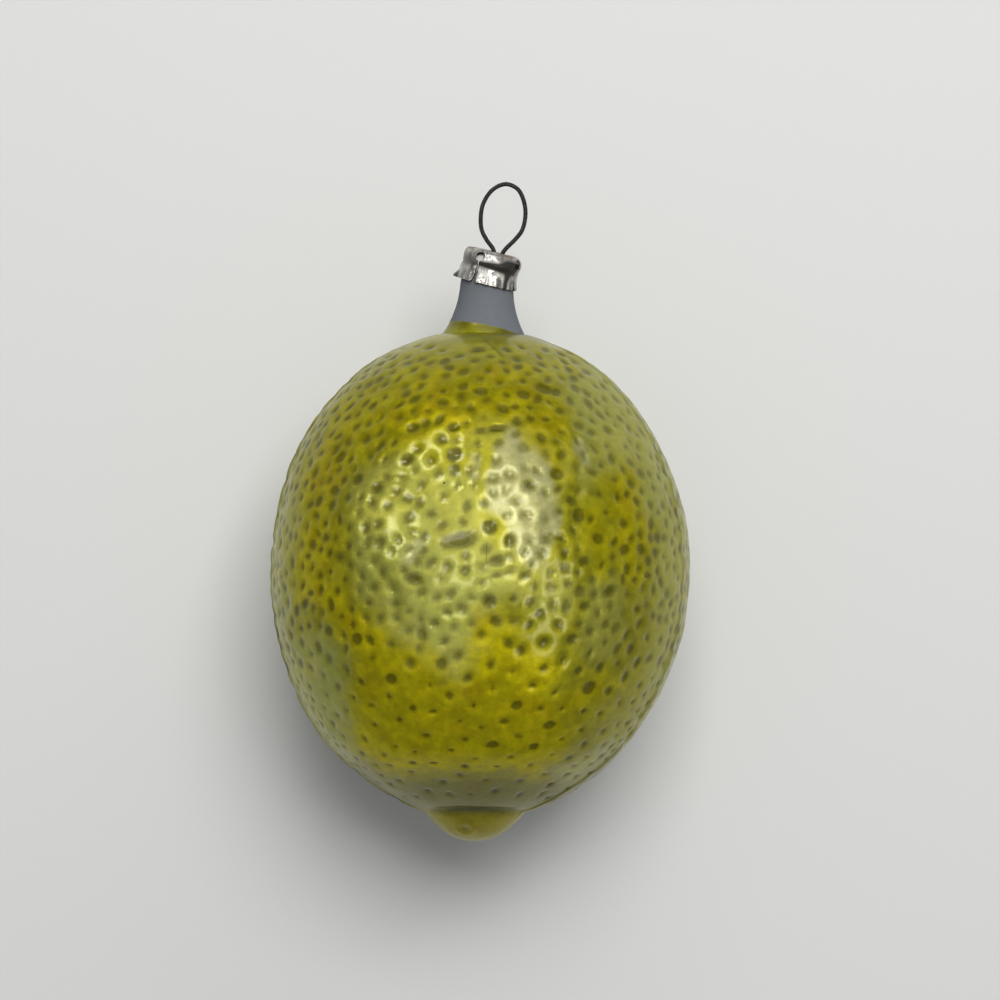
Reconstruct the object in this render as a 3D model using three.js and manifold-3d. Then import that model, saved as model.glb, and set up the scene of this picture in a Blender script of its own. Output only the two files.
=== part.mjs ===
// A blown-glass lime ornament, lying on its side: a hollow glass fruit with a bare neck, a stamped
// metal cap with keyhole slits, and a spring-wire hanger whose two legs hold the cap in the neck.
//
// Millimetres, +Z up. The fruit's long axis runs along +Y, towards the cap, and +X is across it.
// The origin is the middle of the small flat spot on the underside, below the widest section.

import * as THREE from 'three';
import { mergeVertices } from 'three/addons/utils/BufferGeometryUtils.js';
import Module from 'manifold-3d';

// Fruit: two half ellipsoids that share their widest section, at y = 0
const FRUIT_RADIUS = 27.1;
const STEM_END_LENGTH = 30.4;
const BLOSSOM_END_LENGTH = 33.2;
const GLASS_WALL = 0.8;
const FLAT_DEPTH = 0.25; // what the flat spot takes off the underside
const AXIS_HEIGHT = FRUIT_RADIUS - FLAT_DEPTH;

// Nub at the blossom end: a rounded button behind a shallow groove
const NUB_TIP = 36.0;
const NUB_SPHERE_RADIUS = 7.4;
const NUB_EDGE_RADIUS = 6.3;
const GROOVE_RADIUS = 6.95;
const GROOVE_DISTANCE = 31.7;
const GROOVE_OUTER_RADIUS = 7.6;
const BLOSSOM_OFFSET = 0.4; // the blossom end sits this far to the left of the axis

// Neck: a hollow flare that rises from the shoulder and narrows to the open mouth
const SHOULDER_RADIUS = 5.8;
const FLARE_RADIUS = 12.9;
const FLARE_TOP = 36.5;
const NECK_RADIUS = 3.45;
const MOUTH_RADIUS = 2.95;
const MOUTH_DISTANCE = 38.3;
const NECK_BASE = 29.5;
const NECK_LEAN = THREE.MathUtils.degToRad(3);

// Cap: thin sheet metal, askew on the neck
const SHEET = 0.2;
const CAP_HEIGHT = 4.2;
const SKIRT_RADIUS = 3.95;
const CREASE_RADIUS = 3.72;
const CREASE_HEIGHT = 2.2;
const CROWN_RADIUS = 3.9;
const CAP_TOP_RADIUS = 2.9;
const CAP_BASE = new THREE.Vector3(0.29, 36.4, AXIS_HEIGHT);
const CAP_TURN = THREE.MathUtils.degToRad(13.25); // clockwise, seen from above
const CAP_TILT = THREE.MathUtils.degToRad(6.5); // its top faces up a little
const KEYHOLES = 4;
const FIRST_KEYHOLE = THREE.MathUtils.degToRad(-25); // from straight up, towards +X
const KEYHOLE_HEIGHT = 3.3;
const KEYHOLE_RADIUS = 0.7;
const SLIT_TOP_WIDTH = 0.24;
const SLIT_FOOT_WIDTH = 0.66;
const SLOT_LENGTH = 3.0;
const SLOT_WIDTH = 1.3;
const SLOT_OFFSET = 0.4;

// Hanger: one wire, in a plane that rises slowly from the neck
const WIRE_RADIUS = 0.28;
const WIRE_SIDES = 10;
const WIRE_STEPS = 84;
const WIRE_PIVOT = 36;
const WIRE_RISE = Math.atan(0.1);

const SEGMENTS = 40;

const wasm = await Module();
wasm.setup();

// ---- Solids ----------------------------------------------------------------------------------

function toSolid(geometry) {
  const bare = geometry.clone();
  bare.deleteAttribute('normal');
  bare.deleteAttribute('uv');
  const merged = mergeVertices(bare, 1e-4);
  const index = merged.index.array;
  const corners = [];
  for (let i = 0; i < index.length; i += 3) {
    const [a, b, c] = index.slice(i, i + 3);
    if (a !== b && b !== c && c !== a) corners.push(a, b, c);
  }
  return new wasm.Manifold(new wasm.Mesh({
    numProp: 3,
    vertProperties: new Float32Array(merged.attributes.position.array),
    triVerts: new Uint32Array(corners),
  }));
}

function toGeometry(solid) {
  const mesh = solid.getMesh();
  const geometry = new THREE.BufferGeometry();
  geometry.setAttribute('position', new THREE.BufferAttribute(mesh.vertProperties, 3));
  geometry.setIndex(new THREE.BufferAttribute(mesh.triVerts, 1));
  geometry.computeVertexNormals();
  return geometry;
}

function cut(body, cutters) {
  const solid = cutters.reduce((left, cutter) => left.subtract(toSolid(cutter)), toSolid(body));
  return toGeometry(solid);
}

// Distance along the axis at which an ellipse with half axes a (across) and b (along) has radius r
function ellipseDistance(r, a, b) {
  return b * Math.sqrt(1 - (r / a) ** 2);
}

// ---- Glass fruit -----------------------------------------------------------------------------

// Half outline of the glass from the blossom tip to the mouth, moved into the wall by inset
function glassOutline(inset) {
  const across = FRUIT_RADIUS - inset;
  const stemEnd = STEM_END_LENGTH - inset;
  const blossomEnd = BLOSSOM_END_LENGTH - inset;

  const nubSphere = NUB_SPHERE_RADIUS - inset;
  const nubEdge = NUB_EDGE_RADIUS - inset;
  const grooveOuter = GROOVE_OUTER_RADIUS - inset;
  const shoulder = SHOULDER_RADIUS - inset;
  const flare = FLARE_RADIUS + inset;
  const flareCentre = NECK_RADIUS + FLARE_RADIUS;

  const path = new THREE.Path();
  path.moveTo(0, -NUB_TIP + inset);
  path.absarc(0, NUB_SPHERE_RADIUS - NUB_TIP, nubSphere, -Math.PI / 2, -Math.acos(nubEdge / nubSphere));
  path.lineTo(GROOVE_RADIUS - inset, -GROOVE_DISTANCE + inset);
  path.lineTo(grooveOuter, -ellipseDistance(grooveOuter, across, blossomEnd));
  path.absellipse(0, 0, across, blossomEnd, -Math.acos(grooveOuter / across), 0);
  path.absellipse(0, 0, across, stemEnd, 0, Math.acos(shoulder / across));
  const flareStart = Math.PI + Math.acos((flareCentre - shoulder) / flare);
  path.absarc(flareCentre, FLARE_TOP, flare, flareStart, Math.PI, true);
  path.lineTo(MOUTH_RADIUS - inset, MOUTH_DISTANCE);
  return path.getPoints(4);
}

// How far the fruit's centre line is to the side of the straight axis
function sideways(y) {
  const neck = Math.tan(NECK_LEAN) * Math.max(0, y - NECK_BASE);
  const blossom = BLOSSOM_OFFSET * Math.min(0, y / NUB_TIP) ** 2;
  return neck - blossom;
}

function makeGlassLime() {
  const outline = [...glassOutline(0), ...glassOutline(GLASS_WALL).reverse()];
  const fruit = new THREE.LatheGeometry(outline, SEGMENTS);
  const position = fruit.attributes.position;
  for (let i = 0; i < position.count; i++) {
    position.setX(i, position.getX(i) + sideways(position.getY(i)));
  }
  const below = new THREE.BoxGeometry(20, 20, 2);
  below.translate(0, 0, -AXIS_HEIGHT - 1);

  const material = new THREE.MeshStandardMaterial({ color: 0x8d8a2f, roughness: 0.3, metalness: 0.4 });
  const mesh = new THREE.Mesh(cut(fruit, [below]), material);
  mesh.name = 'glass_lime';
  mesh.position.z = AXIS_HEIGHT;
  return mesh;
}

// ---- Cap -------------------------------------------------------------------------------------

// Half outline of the cap from the skirt's edge to the middle of its top, moved in by inset
function capOutline(inset) {
  const top = CAP_HEIGHT - inset;
  const crown = CROWN_RADIUS - inset;
  const crease = CREASE_RADIUS - inset;
  const path = new THREE.Path();
  path.moveTo(SKIRT_RADIUS - inset, 0);
  path.quadraticCurveTo(crease, CREASE_HEIGHT / 2, crease, CREASE_HEIGHT);
  path.bezierCurveTo(crown, CREASE_HEIGHT + 0.3, crown + 0.1, top, CAP_TOP_RADIUS - inset, top);
  path.lineTo(0, top);
  return path.getPoints(4);
}

// A keyhole: a round hole with a slit that widens on its way down through the skirt's edge
function keyholeCutter(angle) {
  const outline = new THREE.Shape();
  outline.moveTo(-SLIT_FOOT_WIDTH / 2, -1);
  outline.lineTo(SLIT_FOOT_WIDTH / 2, -1);
  outline.lineTo(SLIT_TOP_WIDTH / 2, KEYHOLE_HEIGHT - KEYHOLE_RADIUS);
  const gap = Math.asin(SLIT_TOP_WIDTH / 2 / KEYHOLE_RADIUS);
  const down = -Math.PI / 2;
  outline.absarc(0, KEYHOLE_HEIGHT, KEYHOLE_RADIUS, down + gap, down - gap + 2 * Math.PI, false);
  const cutter = new THREE.ExtrudeGeometry(outline, { depth: 4, bevelEnabled: false, curveSegments: 12 });
  cutter.translate(0, 0, 2.4);
  cutter.rotateY(angle);
  return cutter;
}

// The long slot in the top that the two wire legs pass through
function slotCutter() {
  const end = SLOT_WIDTH / 2;
  const reach = SLOT_LENGTH / 2 - end;
  const outline = new THREE.Shape();
  outline.absarc(reach, 0, end, -Math.PI / 2, Math.PI / 2, false);
  outline.absarc(-reach, 0, end, Math.PI / 2, 1.5 * Math.PI, false);
  const cutter = new THREE.ExtrudeGeometry(outline, { depth: 2, bevelEnabled: false, curveSegments: 8 });
  cutter.rotateX(-Math.PI / 2);
  cutter.translate(SLOT_OFFSET, CAP_HEIGHT - 1, 0);
  return cutter;
}

function makeCap() {
  const outline = [...capOutline(SHEET).reverse(), ...capOutline(0)];
  const sheet = new THREE.LatheGeometry(outline, SEGMENTS);
  const cutters = [slotCutter()];
  for (let i = 0; i < KEYHOLES; i++) {
    cutters.push(keyholeCutter(FIRST_KEYHOLE + i * 2 * Math.PI / KEYHOLES));
  }
  const material = new THREE.MeshStandardMaterial({ color: 0xa39d92, roughness: 0.3, metalness: 0.95 });
  const mesh = new THREE.Mesh(cut(sheet, cutters), material);
  mesh.name = 'cap';
  mesh.position.copy(CAP_BASE);
  mesh.rotation.set(CAP_TILT, 0, -CAP_TURN, 'ZXY');
  return mesh;
}

// ---- Wire hanger -----------------------------------------------------------------------------

// Centre line of the wire as [x, y]: up the left leg, round the loop, and down the right leg
const WIRE_ROUTE = [
  [-3.2, 28], [-1.9, 32], [-1.0, 35.5], [-0.1, 37.8], [0.75, 39.4], [1.0, 40.5],
  [0.1, 42.1], [-0.4, 43.3], [-0.55, 44.9], [-0.25, 46.7], [0.95, 48.5],
  [2.66, 49.25],
  [4.2, 48.6], [5.05, 46.9], [5.22, 45.1], [4.8, 43.3], [4.0, 42.2],
  [2.3, 40.5], [1.85, 39.3], [1.85, 37.8], [2.0, 35.5], [2.5, 32], [3.6, 28],
];

function makeHangerWire() {
  const points = WIRE_ROUTE.map(([x, y]) => new THREE.Vector3(x, y - WIRE_PIVOT, 0));
  const section = new THREE.Shape();
  section.absarc(0, 0, WIRE_RADIUS, 0, 2 * Math.PI);
  const wire = new THREE.ExtrudeGeometry(section, {
    steps: WIRE_STEPS,
    curveSegments: WIRE_SIDES / 2,
    extrudePath: new THREE.CatmullRomCurve3(points, false, 'centripetal'),
  });
  const material = new THREE.MeshStandardMaterial({ color: 0x2c2a28, roughness: 0.45, metalness: 0.8 });
  const mesh = new THREE.Mesh(wire, material);
  mesh.name = 'hanger_wire';
  mesh.position.set(0, WIRE_PIVOT, AXIS_HEIGHT);
  mesh.rotation.x = WIRE_RISE;
  return mesh;
}

const ornament = new THREE.Group();
ornament.add(makeGlassLime(), makeCap(), makeHangerWire());

export default ornament;
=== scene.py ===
# %% [markdown]
# # A blown-glass lime ornament
#
# Limes of this kind were blown into a two-part mould, silvered inside and painted with
# translucent green and yellow lacquer. A stamped cap sits on the bare neck, and a dark spring
# wire holds the cap on. This lesson builds the three pieces as surfaces worked out with numpy,
# then paints them with procedural materials. It lies on its side on a pale floor.
#
# The first cell loads the engineering model. It is the fixed frame: it says where each piece
# goes and how large it is.

# %% Load the frame
import math

import bmesh
import bpy
import numpy as np
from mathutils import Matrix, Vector


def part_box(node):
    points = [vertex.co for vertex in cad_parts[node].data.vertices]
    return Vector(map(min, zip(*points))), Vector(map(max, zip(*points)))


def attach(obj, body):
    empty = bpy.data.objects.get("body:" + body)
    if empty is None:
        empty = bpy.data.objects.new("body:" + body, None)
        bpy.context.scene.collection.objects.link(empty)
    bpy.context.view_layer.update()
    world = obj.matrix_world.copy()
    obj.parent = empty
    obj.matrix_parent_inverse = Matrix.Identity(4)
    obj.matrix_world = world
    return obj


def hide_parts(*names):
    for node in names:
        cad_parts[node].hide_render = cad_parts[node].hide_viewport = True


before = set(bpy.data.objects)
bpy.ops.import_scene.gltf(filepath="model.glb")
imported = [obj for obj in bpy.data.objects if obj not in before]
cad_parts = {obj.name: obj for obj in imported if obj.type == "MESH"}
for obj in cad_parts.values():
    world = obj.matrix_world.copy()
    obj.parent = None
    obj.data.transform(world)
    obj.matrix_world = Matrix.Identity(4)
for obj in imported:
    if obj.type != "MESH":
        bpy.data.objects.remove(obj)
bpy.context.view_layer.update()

MM = 0.001
fruit_low, fruit_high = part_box("glass_lime")
print("glass box, mm:", [round(v / MM, 2) for v in (*fruit_low, *fruit_high)])

# %% [markdown]
# Every piece below is a grid: one parameter runs along rows, the other along columns. This
# helper turns such a grid of points into a mesh. Joining each point to its right and upper
# neighbours makes the quads, and a closed grid also joins its last column to its first.
# Whole index arrays do this at once, which is far quicker than adding faces one by one.

# %% Grid to mesh
def grid_faces(rows, columns, closed):
    """Quads of a rows by columns grid: (i, j), (i, j+1), (i+1, j+1), (i+1, j)."""
    spans = columns if closed else columns - 1
    i, j = np.meshgrid(np.arange(rows - 1), np.arange(spans), indexing="ij")
    right = (j + 1) % columns
    low, high = i * columns, (i + 1) * columns
    return np.stack([low + j, low + right, high + right, high + j], axis=-1).reshape(-1, 4)


def make_mesh(name, points, faces):
    """A smooth-shaded mesh object from arrays of points, in metres, and faces."""
    mesh = bpy.data.meshes.new(name)
    mesh.from_pydata(points.tolist(), [], [list(f) for f in faces])
    mesh.validate()
    mesh.polygons.foreach_set("use_smooth", np.ones(len(mesh.polygons), bool))
    piece = bpy.data.objects.new(name, mesh)
    bpy.context.scene.collection.objects.link(piece)
    print(name, "has", len(points), "points and", len(mesh.polygons), "faces")
    return piece


def add_attribute(piece, name, values):
    """Stores one number per point, which a material can read by name."""
    layer = piece.data.attributes.new(name, "FLOAT", "POINT")
    layer.data.foreach_set("value", np.asarray(values, np.float32).ravel())


def smoothstep(low, high, x):
    """0 below low, 1 above high, and 3t^2 - 2t^3 between them."""
    t = np.clip((x - low) / (high - low), 0.0, 1.0)
    return t * t * (3.0 - 2.0 * t)


print("a closed grid of 3 by 4 points has", len(grid_faces(3, 4, True)), "quads")

# %% [markdown]
# ## The glass
#
# The fruit is a surface of revolution that is then made imperfect. Its outline is two quarter
# ellipses that share the widest section, a round nub behind a groove at the blossom end, and a
# hollow flare that rises to the neck. A lathe turns such an outline into a shape, and here the
# lathe is a formula: a point at radius r and distance y goes to (r sin a, y, r cos a), where
# the angle a is 0 on top.
#
# Lengths in these cells are millimetres, because glass details are easier to think of that way.
# The neck goes a little further up inside the cap than the engineering model's does.

# %% Glass outline
FRUIT_RADIUS = 27.1
AXIS_HEIGHT = (fruit_high.z - FRUIT_RADIUS * MM) / MM
STEM_END_LENGTH = 30.4
BLOSSOM_END_LENGTH = 33.2
GLASS_WALL = 0.8
NUB_TIP = -fruit_low.y / MM
NUB_FLAT = 3.0
NUB_BEND = (4.4, 1.4)
NUB_EDGE_RADIUS = 6.5
NUB_STEP = 0.15
SHOULDER_RADIUS = 5.8
FLARE_RADIUS = 12.9
FLARE_TOP = 36.5
NECK_RADIUS = 3.45
MOUTH_RADIUS = 2.95
NECK_EXTRA = 1.6
MOUTH_DISTANCE = fruit_high.y / MM + NECK_EXTRA


def ellipse_arc(across, along, start, end):
    """Points (across cos t, along sin t) of an ellipse, with t from start to end."""
    t = np.linspace(start, end, 400)
    return np.column_stack([across * np.cos(t), along * np.sin(t)])


def circle_arc(centre, radius, start, end):
    """Points centre + radius (cos t, sin t), with t from start to end."""
    t = np.linspace(start, end, 200)
    return np.column_stack([centre[0] + radius * np.cos(t), centre[1] + radius * np.sin(t)])


def bezier(*corners):
    """Points of the Bezier curve with these corners: sums of them weighted by binomials."""
    t = np.linspace(0.0, 1.0, 200)[:, None]
    order = len(corners) - 1
    return sum(math.comb(order, k) * t ** k * (1 - t) ** (order - k) * np.array(corner)
               for k, corner in enumerate(corners))


def evenly(points, spacing):
    """The same line with its points a given distance apart, by interpolating along its length."""
    steps = np.hypot(*np.diff(points, axis=0).T)
    length = np.concatenate([[0.0], np.cumsum(steps)])
    count = max(2, int(round(length[-1] / spacing)) + 1)
    wanted = np.linspace(0.0, length[-1], count)
    return np.column_stack([np.interp(wanted, length, points[:, k]) for k in (0, 1)])


def glass_outline(inset):
    """Nub, blossom half, stem half, flare and neck, from the blossom tip to the mouth."""
    across = FRUIT_RADIUS - inset
    nub_edge, tip = NUB_EDGE_RADIUS - inset, inset - NUB_TIP
    shoulder, flare = SHOULDER_RADIUS - inset, FLARE_RADIUS + inset
    flare_centre = NECK_RADIUS + FLARE_RADIUS
    blossom = ellipse_arc(across, BLOSSOM_END_LENGTH - inset,
                          -math.acos((nub_edge + NUB_STEP) / across), 0.0)
    nub = bezier((0, tip), (NUB_FLAT, tip), (NUB_BEND[0], tip + NUB_BEND[1]), blossom[0])
    stem = ellipse_arc(across, STEM_END_LENGTH - inset, 0.0, math.acos(shoulder / across))
    flare_start = math.pi + math.acos((flare_centre - shoulder) / flare)
    rise = circle_arc((flare_centre, FLARE_TOP), flare, flare_start, math.pi)
    mouth = np.array([[MOUTH_RADIUS - inset, MOUTH_DISTANCE]])
    return np.concatenate([nub, blossom[1:], stem[1:], rise[1:], mouth])


# %% [markdown]
# The glass is a thin shell, so its outline goes up the outside and comes back down the inside,
# one wall further in. The outside needs rows half a millimetre apart to hold the dimples. The
# lining is out of sight, so it keeps every row in the neck and only one in six in the fruit.

# %% Outside and lining
SKIN_SPACING = 0.46
LINING_SPACING = 1.2
LINING_SKIP = 6
NECK_LINING_START = STEM_END_LENGTH - 3.0

skin = evenly(glass_outline(0.0), SKIN_SPACING)
lining = evenly(glass_outline(GLASS_WALL)[::-1], LINING_SPACING)
in_neck = lining[:, 1] > NECK_LINING_START
lining = lining[in_neck | (np.arange(len(lining))[::-1] % LINING_SKIP == 0)]
outline = np.concatenate([skin, lining])
outline[[0, -1], 0] = 0.0
skin_rows = len(skin)
print("outline rows:", skin_rows, "outside and", len(lining), "inside")

# %% [markdown]
# The lathe. Rows follow the outline, columns go round. The blossom end sits a little to one
# side and the neck leans, so each ring is moved sideways by a small amount that depends only on
# its distance along the axis. The outward direction at each point is the outline's own normal
# turned by the same angle, and all the modelling that follows moves points along it.

# %% Turn the outline
AROUND = 400
BLOSSOM_OFFSET = 0.4
NECK_BASE = 29.5
NECK_LEAN = math.radians(3)

angle = np.linspace(-math.pi, math.pi, AROUND, endpoint=False)
radius, along = outline[:, :1], outline[:, 1:]
tangent = np.gradient(outline, axis=0)
tangent /= np.linalg.norm(tangent, axis=1, keepdims=True)
out_radial, out_along = tangent[:, 1:], -tangent[:, :1]


def centre_line(y):
    """How far the glass leans to the right of the straight axis at distance y."""
    neck = math.tan(NECK_LEAN) * np.maximum(0.0, y - NECK_BASE)
    return neck - BLOSSOM_OFFSET * np.minimum(0.0, y / NUB_TIP) ** 2


def turn(radial, distance):
    """Radial and axial amounts at every angle, as (x, y, z)."""
    return np.stack([radial * np.sin(angle), distance + 0.0 * angle, radial * np.cos(angle)], -1)


smooth_glass = turn(radius, along)
smooth_glass[..., 0] += centre_line(along)
outward = turn(out_radial, out_along)
print("glass grid:", smooth_glass.shape[:2], "widest:", round(2 * float(radius.max()), 2), "mm")

# %% [markdown]
# ## Dimples
#
# The mould was cut to look like citrus peel. The peel has hundreds of shallow dimples, a
# couple of millimetres apart, with low ridges between them. Each dimple is a bell curve cut
# into the glass along its normal: depth times exp(-(u/a)^2 - (v/b)^2), where u and v are
# distances from its middle in millimetres and a and b its half widths.
#
# Their places are drawn at random but kept apart: a new dimple is refused if it falls too near
# one that is there already. This is dart throwing, and it gives an even scatter with no rows.
# A few large dimples are listed first.

# %% Place the large dimples
flat_skin = smooth_glass[:skin_rows]


def skin_point(x, y):
    """The point of the upper skin above plan position (x, y)."""
    length = STEM_END_LENGTH if y > 0 else BLOSSOM_END_LENGTH
    ring = FRUIT_RADIUS * math.sqrt(max(0.0, 1 - (y / length) ** 2))
    side = x - float(centre_line(y))
    return np.array([x, y, math.sqrt(max(0.0, ring ** 2 - side ** 2))])


# plan x, plan y, half length, half width, turn in degrees, depth
LARGE_DIMPLES = [
    (-2.4, 3.4, 1.85, 0.90, 8, 0.24), (1.2, 5.0, 0.80, 0.70, 0, 0.38),
    (-8.0, -1.4, 1.15, 0.60, -14, 0.28), (1.3, -4.0, 0.75, 0.85, 30, 0.30),
    (-0.1, 21.7, 0.85, 0.60, 0, 0.34), (2.0, 17.1, 1.15, 0.45, 6, 0.32),
    (-8.4, 17.0, 0.75, 0.60, 0, 0.34), (-9.0, 13.0, 0.80, 0.65, 10, 0.34),
    (-3.2, 13.8, 0.80, 0.75, 0, 0.34), (-3.3, 17.1, 0.65, 0.55, 0, 0.32),
    (7.7, 22.4, 1.05, 0.80, -20, 0.28), (5.2, 21.5, 0.80, 0.65, 0, 0.30),
    (9.3, 11.6, 0.80, 0.65, 0, 0.28), (12.0, 6.6, 0.70, 0.80, 0, 0.30),
    (6.1, 10.2, 0.80, 0.70, 0, 0.26), (3.7, 3.4, 0.60, 0.80, 0, 0.26),
    (2.2, 1.0, 0.90, 0.60, 0, 0.22), (-12.6, 9.6, 0.75, 0.65, 0, 0.26),
    (-17.5, 13.4, 0.80, 0.60, 40, 0.34), (-15.0, 10.6, 0.75, 0.65, 0, 0.28),
    (16.0, -2.6, 0.95, 0.60, 25, 0.26), (13.8, -14.7, 0.85, 0.75, 0, 0.28),
    (4.8, -16.8, 0.60, 0.55, 0, 0.24), (8.9, -19.3, 0.75, 0.50, 0, 0.24),
    (1.9, -21.9, 0.75, 0.50, 0, 0.26), (7.0, -22.1, 0.60, 0.45, 0, 0.24),
    (-10.6, -13.7, 0.70, 0.60, 0, 0.26), (-14.9, -8.9, 0.65, 0.60, 0, 0.26),
]
print("large dimples:", len(LARGE_DIMPLES))

# %% [markdown]
# Now the small dimples. The distance that keeps them apart is not the same everywhere: they
# crowd on the stem half and the flanks, and thin out on top of the blossom half and at both
# ends. Odds in proportion to the radius spread the darts evenly over the skin's area.

# %% Throw the small dimples
DARTS = 24000
DIMPLES_START = -31.0
DIMPLES_END = NECK_BASE - 1.6
CLOSEST = 1.62
CALM_EXTRA = 0.95
ENDS_EXTRA = 0.7

rng = np.random.default_rng(17)


def peel_spacing(point):
    """Dimples stand closer on the stem half and the flanks than on the upper blossom half."""
    x, y, z = point
    calm = smoothstep(6.0, 16.0, -y) * smoothstep(8.0, 16.0, z)
    ends = smoothstep(24.0, 29.0, abs(y))
    return CLOSEST + CALM_EXTRA * calm + ENDS_EXTRA * ends


def throw_darts(points, tries):
    """Picks skin points so that no two are nearer than the peel's spacing there."""
    kept = np.zeros((len(LARGE_DIMPLES) + tries, 3))
    kept[:len(LARGE_DIMPLES)] = [skin_point(d[0], d[1]) for d in LARGE_DIMPLES]
    count = len(LARGE_DIMPLES)
    rows = rng.choice(len(points), tries, p=dart_odds)
    columns = rng.integers(0, AROUND, tries)
    for row, column in zip(rows, columns):
        point = points[row, column]
        if point[1] > DIMPLES_END or point[1] < DIMPLES_START:
            continue
        gaps = kept[:count] - point
        if (gaps * gaps).sum(axis=1).min() > peel_spacing(point) ** 2:
            kept[count] = point
            count += 1
    return kept[len(LARGE_DIMPLES):count]


dart_odds = skin[:, 0] / skin[:, 0].sum()
small_places = throw_darts(flat_skin, DARTS)
print("small dimples:", len(small_places), "of", DARTS, "darts")

# %% [markdown]
# Each dimple only touches the rows near it, so the sum is taken over a short band of rows at a
# time. Two things are kept: how deep the skin is pushed in, which shapes the mesh, and how near
# each point is to a dimple's middle, which the paint needs because pigment gathered there.

# %% Press one dimple after another
RIM_HEIGHT = 0.012
RIM_PLACE = 1.7
RIM_WIDTH = 0.5
REACH = 3.0
print("a dimple reaches out to", REACH, "of its half widths")


def dimple_frame(place, turn_degrees):
    """Unit directions along and across a dimple, both lying in the skin."""
    up = place / np.array([FRUIT_RADIUS, BLOSSOM_END_LENGTH, FRUIT_RADIUS]) ** 2
    up /= np.linalg.norm(up)
    across = np.cross([0.0, 1.0, 0.0], up)
    across /= np.linalg.norm(across)
    forward = np.cross(up, across)
    c, s = math.cos(math.radians(turn_degrees)), math.sin(math.radians(turn_degrees))
    return c * across + s * forward, -s * across + c * forward


def press(points, dimples):
    """Sums every dimple's bell curve, with a low rim round it, over the rows that it reaches."""
    sunk = np.zeros(points.shape[:2])
    pigment = np.zeros(points.shape[:2])
    for place, half_length, half_width, turned, depth, filled in dimples:
        reach = REACH * max(half_length, half_width)
        rows = np.flatnonzero(np.abs(skin[:, 1] - place[1]) < reach)
        band = slice(rows[0], rows[-1] + 1)
        first, second = dimple_frame(place, turned)
        offset = points[band] - place
        square = (offset @ first / half_length) ** 2 + (offset @ second / half_width) ** 2
        near = np.linalg.norm(offset, axis=-1) < reach
        hollow = np.exp(-square) * near
        rim = np.exp(-((np.sqrt(square) - RIM_PLACE) / RIM_WIDTH) ** 2) * near
        sunk[band] += depth * (hollow - RIM_HEIGHT * rim)
        pigment[band] = np.maximum(pigment[band], filled * hollow)
    return sunk, pigment


# %% [markdown]
# Small dimples differ in size, stretch, depth and in how much pigment they hold, and they get
# smaller towards the blossom end. The large ones are filled past 1, which tells the paint to
# keep them dark where the lacquer has faded. Hundreds of broad low lumps and hollows lie among
# the dimples. They hold no pigment, but they break up the reflections, as on real blown glass.

# %% Press the dimples in
LARGE_FILL = 1.5
HALF_WIDTHS = (0.52, 0.84)
STRETCHES = (0.80, 1.30)
DEPTHS = (0.13, 0.30)
FILLS = (0.52, 1.0)
LUMPS = 460
LUMP_WIDTHS = (1.1, 2.2)
LUMP_HEIGHT = 0.12
LUMPS_END = 29.0


def small_dimple(place):
    """A random small dimple: its place, two half widths, turn, depth and fill."""
    calm = smoothstep(10.0, 18.0, -place[1])
    half = rng.uniform(*HALF_WIDTHS) * (1.0 - 0.28 * calm)
    stretch = rng.uniform(*STRETCHES)
    depth = rng.uniform(*DEPTHS)
    filled = rng.uniform(*FILLS)
    return place, half * stretch, half / stretch, rng.uniform(0, 180), depth, filled


def soft_lump(row, column):
    """A broad low rise or hollow, with no pigment in it."""
    place = flat_skin[row, column]
    return (place, rng.uniform(*LUMP_WIDTHS), rng.uniform(*LUMP_WIDTHS), rng.uniform(0, 180),
            rng.uniform(-LUMP_HEIGHT, LUMP_HEIGHT), 0.0)


dimples = [(skin_point(x, y), a, b, t, d, LARGE_FILL) for x, y, a, b, t, d in LARGE_DIMPLES]
dimples += [small_dimple(place) for place in small_places]
lump_rows = rng.choice(skin_rows, LUMPS, p=dart_odds)
lump_columns = rng.integers(0, AROUND, LUMPS)
dimples += [soft_lump(row, column) for row, column in zip(lump_rows, lump_columns)
            if abs(skin[row, 1]) < LUMPS_END]
sunk, pigment = press(flat_skin, dimples)
print("deepest point:", round(float(sunk.max()), 2), "mm")

# %% [markdown]
# Other marks of the mould. A low wavy swell keeps the body from being perfectly round. A thin
# ridge runs along each side, where the mould's two halves met. A groove goes round the nub, and
# the nub carries a small ring, left by the plug that closed the mould. Each is a bell curve of
# a distance, and they are all added to one height map.

# %% Seam, groove and nub ring
SEAM_ANGLES = np.radians([71.0, -82.0])
SEAM_HEIGHT = 0.22
SEAM_WIDTH = 0.30
GROOVE_DEPTH = 0.42
GROOVE_WIDTH = 0.55
RING_PLACE = np.array([-1.5, -34.5, 3.9])
RING_RADIUS = 1.15
RING_WIDTH = 0.26
RING_HEIGHT = 0.15
HOLLOW_WIDTH = 0.55
HOLLOW_DEPTH = 0.12
# height, waves round the fruit, turn per millimetre along it, and starting phase
SWELLS = [(0.10, 2, 0.13, 0.0), (0.07, 5, -0.21, 0.0), (0.05, 3, 0.37, 1.0)]


def bell(x, width):
    """exp(-(x/width)^2)."""
    return np.exp(-(x / width) ** 2)


skin_radius, skin_along = skin[:, :1], skin[:, 1:]
from_seam = np.min([np.abs(np.angle(np.exp(1j * (angle - a)))) for a in SEAM_ANGLES], axis=0)
seam_distance = from_seam * skin_radius
fades = smoothstep(31.0, 25.0, skin_along) * smoothstep(-34.0, -31.0, skin_along)
seam = bell(seam_distance, SEAM_WIDTH) * fades

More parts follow.
